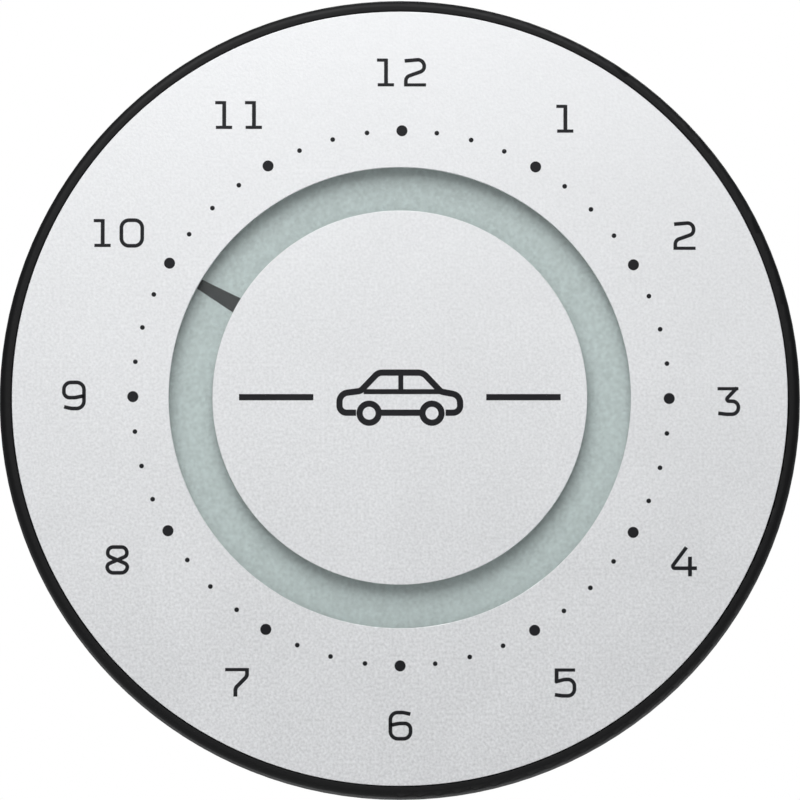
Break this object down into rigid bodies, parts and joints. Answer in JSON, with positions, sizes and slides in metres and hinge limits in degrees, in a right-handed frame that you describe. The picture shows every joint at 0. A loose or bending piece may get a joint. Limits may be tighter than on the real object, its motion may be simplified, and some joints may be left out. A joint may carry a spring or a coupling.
{
  "type": "electronic parking disc",
  "caption": "Round electronic parking disc for a windscreen: silver dial with hour numerals around a recessed ring display, black case, rear display, buttons and coin-cell bay.",
  "frame": {"origin": "centre of the dial's front face, in the plane that rests on the windscreen", "axes": "+Z towards twelve o'clock, -Y out of the dial towards whoever reads it, +X to the reader's right"},
  "size_m": [0.08, 0.0135, 0.08],
  "materials": {
    "case_black": "satin gloss",
    "housing_black": "fine texture",
    "dial_silver": "fine matte grain",
    "clear_lens": "clear",
    "display_film": "matte film",
    "display_glass": "clear",
    "reflector_film": "satin",
    "connector_rubber": "soft",
    "carrier_white": "matte",
    "board_green": "solder mask",
    "chip_black": "moulded",
    "can_metal": "satin",
    "buzzer_black": "moulded",
    "capacitor_tan": "ceramic",
    "cell_steel": "nickel-plated",
    "contact_metal": "spring strip",
    "screw_steel": "zinc-plated",
    "button_grey": "matte",
    "plunger_black": "moulded",
    "switch_metal": "pressed shell"
  },
  "bodies": {
    "case": {"front_bezel": "case_black", "outer_dial_plate": "dial_silver", "centre_dial_plate": "dial_silver", "front_lens": "clear_lens", "ring_display_polariser": "display_film", "ring_display_front_glass": "display_glass", "ring_display_rear_glass": "display_glass", "ring_display_reflector": "reflector_film", "ring_display_connector_strip": "connector_rubber", "display_carrier": "carrier_white", "circuit_board": "board_green", "microcontroller": "chip_black", "accelerometer": "chip_black", "clock_crystal": "can_metal", "piezo_buzzer": "buzzer_black", "ceramic_capacitors": "capacitor_tan", "coin_cell": "cell_steel", "negative_contact": "contact_metal", "positive_contact": "contact_metal", "rear_display_polariser": "display_film", "rear_display_outer_glass": "display_glass", "rear_display_inner_glass": "display_glass", "rear_display_reflector": "reflector_film", "rear_display_connector_strip": "connector_rubber", "rear_display_holder": "carrier_white", "rear_window": "clear_lens", "minus_switch_body": "switch_metal", "set_switch_body": "switch_metal", "plus_switch_body": "switch_metal", "rear_housing": "housing_black", "housing_screws": "screw_steel"},
    "battery_cover": {"battery_cover": "housing_black"},
    "minus_button": {"minus_button": "button_grey", "minus_switch_plunger": "plunger_black"},
    "set_button": {"set_button": "button_grey", "set_switch_plunger": "plunger_black"},
    "plus_button": {"plus_button": "button_grey", "plus_switch_plunger": "plunger_black"}
  },
  "joints": [
    {"name": "minus_press", "type": "slide", "parent": "case", "child": "minus_button", "axis": [0, -1, 0], "range_m": [0, 0.0003], "stiffness_N_per_m": 3000, "springref_m": -0.0002},
    {"name": "set_press", "type": "slide", "parent": "case", "child": "set_button", "axis": [0, -1, 0], "range_m": [0, 0.0003], "stiffness_N_per_m": 3000, "springref_m": -0.0002},
    {"name": "plus_press", "type": "slide", "parent": "case", "child": "plus_button", "axis": [0, -1, 0], "range_m": [0, 0.0003], "stiffness_N_per_m": 3000, "springref_m": -0.0002},
    {"name": "battery_cover_turn", "type": "hinge", "parent": "case", "child": "battery_cover", "pos_m": [0, 0.013, 0.01338], "axis": [0, 1, 0], "range_deg": [0, 40]}
  ]
}
